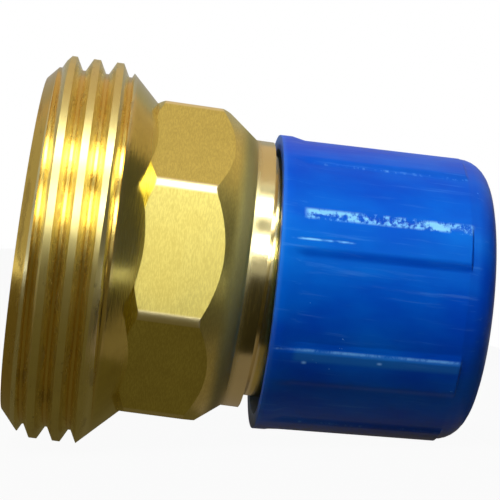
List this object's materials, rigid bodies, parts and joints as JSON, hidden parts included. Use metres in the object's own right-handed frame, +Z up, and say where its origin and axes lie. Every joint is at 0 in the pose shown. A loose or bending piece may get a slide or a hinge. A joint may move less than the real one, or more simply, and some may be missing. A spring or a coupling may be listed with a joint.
{
  "type": "inline water filter",
  "caption": "Brass inline water filter with an octagonal spanner section, large male inlet thread, inner strainer and check valve, and a loose blue dust cap on its outlet.",
  "frame": {"origin": "centre of the inlet end face, on the flow axis", "axes": "+X along the flow axis from the inlet thread to the outlet, +Z up, with the part lying on its side"},
  "size_m": [0.0395, 0.033, 0.033],
  "materials": {
    "brass": "turned, fine tool marks",
    "cap_plastic": "semi-gloss, scuffed",
    "spring_steel": "satin",
    "steel_mesh": "woven wire",
    "strainer_moulding": "moulded",
    "valve_moulding": "moulded",
    "seal_rubber": "matt"
  },
  "bodies": {
    "fitting": {"filter_body": "brass", "strainer_circlip": "spring_steel", "strainer_collar": "strainer_moulding", "strainer_gasket": "seal_rubber", "strainer_core": "strainer_moulding", "strainer_mesh": "steel_mesh", "strainer_end_cap": "strainer_moulding", "valve_housing": "valve_moulding", "housing_o_ring": "seal_rubber", "valve_guide": "valve_moulding", "valve_spring": "spring_steel", "valve_circlip": "spring_steel"},
    "cap": {"outlet_cap": "cap_plastic"},
    "poppet": {"valve_poppet": "valve_moulding", "poppet_seal": "seal_rubber"}
  },
  "joints": [
    {"name": "cap_pull", "type": "slide", "parent": "fitting", "child": "cap", "axis": [0.9992, 0, 0.0401], "range_m": [0, 0.04]},
    {"name": "valve_lift", "type": "slide", "parent": "fitting", "child": "poppet", "axis": [1, 0, 0], "range_m": [0, 0.003], "stiffness_N_per_m": 60, "springref_m": -0.004, "deforming": ["valve_spring"]}
  ]
}
